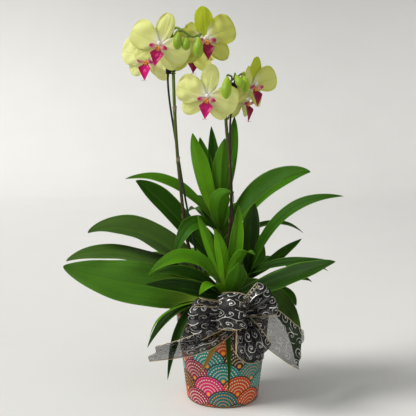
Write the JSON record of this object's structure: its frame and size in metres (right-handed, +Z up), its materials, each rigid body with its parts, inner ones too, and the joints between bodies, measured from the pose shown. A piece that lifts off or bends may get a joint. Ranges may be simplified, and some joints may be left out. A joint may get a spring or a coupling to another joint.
{
  "type": "potted orchid",
  "caption": "Moth orchid in bloom with a leafy companion plant in a patterned ceramic cover pot, tied with a wide organza ribbon bow.",
  "frame": {"origin": "centre of the pot's underside, on the surface that it stands on", "axes": "+Z up through the plant, -Y towards the viewer of the picture, +X to the right in the picture"},
  "size_m": [0.3977, 0.2782, 0.5738],
  "materials": {
    "pot": "painted matt glaze",
    "potting_mix": "loose bark",
    "orchid_leaf": "smooth living leaf",
    "companion_leaf": "smooth living leaf",
    "spike": "smooth living stem",
    "stake_green": "satin",
    "stake_brown": "satin",
    "clip": "satin",
    "tie": "soft twine",
    "tepal": "living petal",
    "lip": "living petal",
    "ribbon": "sheer organza with a printed scroll and wired edges"
  },
  "bodies": {
    "root": {"pot": "pot", "potting_mix": "potting_mix", "orchid_leaves": "orchid_leaf", "shoot_upright": "companion_leaf", "shoot_front": "companion_leaf", "shoot_right": "companion_leaf", "shoot_back": "companion_leaf", "shoot_trailing": "companion_leaf", "spike_left": "spike", "spike_right": "spike", "stake_left": "stake_green", "stake_right": "stake_brown", "clip_left": "clip", "clip_right": "clip", "stem_tie": "tie", "flower_a_tepals": "tepal", "flower_a_lip": "lip", "flower_b_tepals": "tepal", "flower_b_lip": "lip", "flower_c_tepals": "tepal", "flower_c_lip": "lip", "flower_d_tepals": "tepal", "flower_d_lip": "lip", "flower_e_tepals": "tepal", "flower_e_lip": "lip", "flower_f_tepals": "tepal", "flower_f_lip": "lip", "flower_g_tepals": "tepal", "flower_g_lip": "lip", "ribbon_band": "ribbon", "ribbon_knot": "ribbon", "ribbon_loop_left": "ribbon", "ribbon_loop_left_back": "ribbon", "ribbon_loop_centre": "ribbon", "ribbon_loop_right_upper": "ribbon", "ribbon_loop_right_lower": "ribbon", "ribbon_tail_left": "ribbon", "ribbon_wing_right": "ribbon"}
  },
  "joints": []
}
